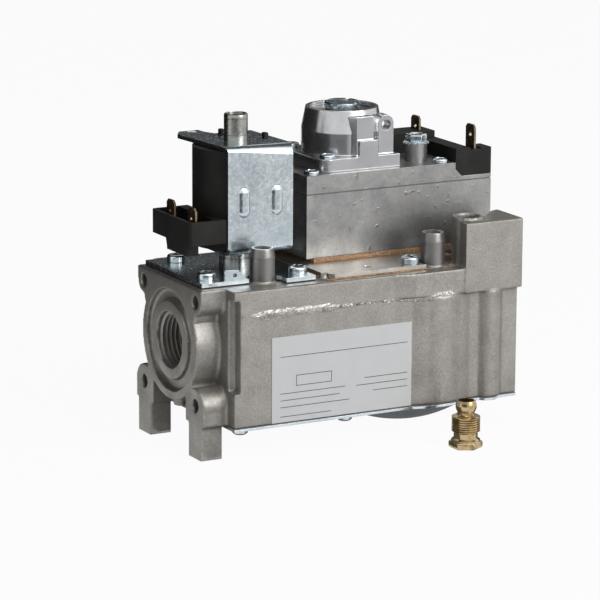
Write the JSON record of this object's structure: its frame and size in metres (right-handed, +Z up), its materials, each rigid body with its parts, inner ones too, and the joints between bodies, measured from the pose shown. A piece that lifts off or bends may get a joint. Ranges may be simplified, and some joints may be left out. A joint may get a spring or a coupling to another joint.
{
  "type": "gas valve",
  "caption": "Die-cast multifunction gas valve with a solenoid safety valve, a servo pressure regulator turret, flanged ports and a loose brass pilot fitting",
  "frame": {"origin": "centre of the inlet flange face, on the pipe axis", "axes": "X runs with the gas flow from inlet to outlet, Y points to the back of the valve, Z points up"},
  "size_m": [0.132, 0.0939, 0.1222],
  "materials": {
    "die_cast_aluminium": "satin die cast",
    "upper_aluminium": "satin die cast, darker",
    "zinc_plated_steel": "bright zinc plate",
    "nickel_plated_steel": "satin nickel plate",
    "plain_steel": "turned steel",
    "spring_steel": "drawn spring wire",
    "black_moulding": "matt black moulding",
    "enamelled_copper": "enamelled copper wire",
    "brass": "turned and stamped brass",
    "cork_sheet": "speckled cork sheet",
    "black_rubber": "matt rubber",
    "label_film": "pale satin label film"
  },
  "bodies": {
    "valve_body": {"main_body": "die_cast_aluminium", "rating_label": "label_film", "bottom_plate": "zinc_plated_steel", "bottom_gasket": "black_rubber", "bottom_plate_screws": "zinc_plated_steel", "main_diaphragm": "black_rubber", "main_spring": "spring_steel", "inlet_strainer": "plain_steel", "operator_plate": "zinc_plated_steel", "operator_gasket": "black_rubber", "operator_screws": "zinc_plated_steel", "guide_tube": "nickel_plated_steel", "fixed_core": "plain_steel", "solenoid_yoke": "zinc_plated_steel", "coil_moulding": "black_moulding", "coil_winding": "enamelled_copper", "coil_tabs": "brass", "safety_spring": "spring_steel", "separator_plate": "nickel_plated_steel", "separator_gasket_lower": "cork_sheet", "separator_gasket_upper": "cork_sheet", "separator_screws": "zinc_plated_steel", "servo_housing": "upper_aluminium", "servo_gasket": "black_rubber", "servo_cover": "upper_aluminium", "servo_cover_screws": "zinc_plated_steel", "earth_screw": "zinc_plated_steel", "servo_coil": "enamelled_copper", "servo_core": "plain_steel", "servo_spring": "spring_steel", "terminal_block": "black_moulding", "terminal_block_tabs": "brass", "regulator_housing": "upper_aluminium", "regulator_screws": "zinc_plated_steel", "regulator_diaphragm": "black_rubber", "regulator_spring": "spring_steel"},
    "safety_valve": {"safety_plunger": "plain_steel", "safety_disc": "black_rubber"},
    "main_valve": {"main_stem": "plain_steel", "main_disc": "black_rubber"},
    "servo_valve": {"servo_plunger": "plain_steel"},
    "regulator_valve": {"regulator_stem": "plain_steel"},
    "spring_carrier": {"spring_seat": "plain_steel"},
    "adjuster": {"adjusting_screw": "brass"},
    "cap_washer": {"cap_seal": "black_rubber"},
    "cap": {"cap_screw": "zinc_plated_steel"},
    "inlet_tester": {"inlet_test_screw": "zinc_plated_steel"},
    "outlet_tester": {"outlet_test_screw": "zinc_plated_steel"},
    "pilot_fitting": {"pilot_nut": "brass", "pilot_olive": "brass"}
  },
  "joints": [
    {"name": "safety_lift", "type": "slide", "parent": "valve_body", "child": "safety_valve", "axis": [0, 0, 1], "range_m": [0, 0.003], "stiffness_N_per_m": 300, "springref_m": -0.002, "deforming": ["safety_spring"]},
    {"name": "main_lift", "type": "slide", "parent": "valve_body", "child": "main_valve", "axis": [0, 0, 1], "range_m": [0, 0.0025], "stiffness_N_per_m": 400, "springref_m": -0.003, "deforming": ["main_spring", "main_diaphragm"]},
    {"name": "servo_lift", "type": "slide", "parent": "valve_body", "child": "servo_valve", "axis": [0, 0, 1], "range_m": [0, 0.0012], "stiffness_N_per_m": 250, "springref_m": -0.001, "deforming": ["servo_spring"]},
    {"name": "regulator_float", "type": "slide", "parent": "valve_body", "child": "regulator_valve", "axis": [0, 0, 1], "range_m": [-0.0006, 0.0005], "stiffness_N_per_m": 2000, "deforming": ["regulator_spring", "regulator_diaphragm"]},
    {"name": "seat_travel", "type": "slide", "parent": "valve_body", "child": "spring_carrier", "axis": [0, 0, 1], "range_m": [-0.0025, 0], "deforming": ["regulator_spring"]},
    {"name": "adjuster_turn", "type": "hinge", "parent": "spring_carrier", "child": "adjuster", "pos_m": [0.0782, 0.0116, 0.0726], "axis": [0, 0, 1], "range_deg": [-900, 0]},
    {"name": "cap_rise", "type": "slide", "parent": "valve_body", "child": "cap_washer", "axis": [0, 0, 1], "range_m": [0, 0.002]},
    {"name": "cap_turn", "type": "hinge", "parent": "cap_washer", "child": "cap", "pos_m": [0.0782, 0.0116, 0.0785], "axis": [0, 0, 1], "range_deg": [0, 720]},
    {"name": "inlet_tester_turn", "type": "hinge", "parent": "valve_body", "child": "inlet_tester", "pos_m": [0.0266, -0.0229, 0.0325], "axis": [0, 0, 1], "range_deg": [0, 360]},
    {"name": "outlet_tester_turn", "type": "hinge", "parent": "valve_body", "child": "outlet_tester", "pos_m": [0.0961, -0.0265, 0.0325], "axis": [0, 0, 1], "range_deg": [0, 360]},
    {"name": "fitting_lift", "type": "slide", "parent": "valve_body", "child": "pilot_fitting", "axis": [0, 0, 1], "range_m": [0, 0.03]}
  ],
  "couplings": [
    {"joint": "adjuster_turn", "follows": "seat_travel", "rad_per_m": 6283},
    {"joint": "cap_turn", "follows": "cap_rise", "rad_per_m": 6283}
  ]
}
